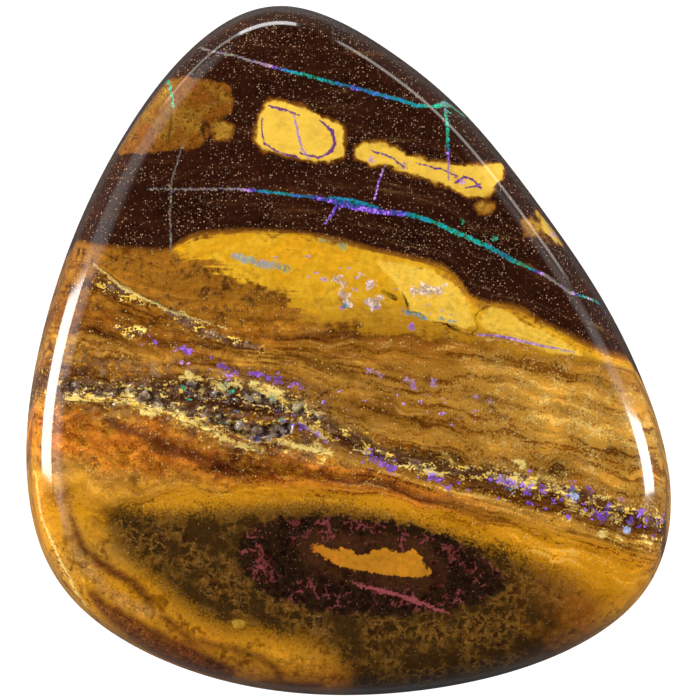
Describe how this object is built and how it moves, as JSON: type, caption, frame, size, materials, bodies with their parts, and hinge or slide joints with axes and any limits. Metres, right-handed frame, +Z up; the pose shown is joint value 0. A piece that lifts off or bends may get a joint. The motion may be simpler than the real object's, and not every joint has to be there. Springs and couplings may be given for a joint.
{
  "type": "polished ironstone cabochon",
  "caption": "Polished freeform ironstone slab, rounded triangle in plan, low dome, flat back, thin opal seams and a row of small open cavities.",
  "frame": {"origin": "on the flat back, under the middle of the stone's box", "axes": "+Z up out of the polished face, +Y along the stone's long way towards its narrow dark end, +X to the right of the face seen with the narrow end up"},
  "size_m": [0.0318, 0.034, 0.007],
  "materials": {
    "ironstone": "polished banded brown and golden ironstone with thin blue-green opal seams"
  },
  "bodies": {
    "root": {"polished_ironstone": "ironstone"}
  },
  "joints": []
}
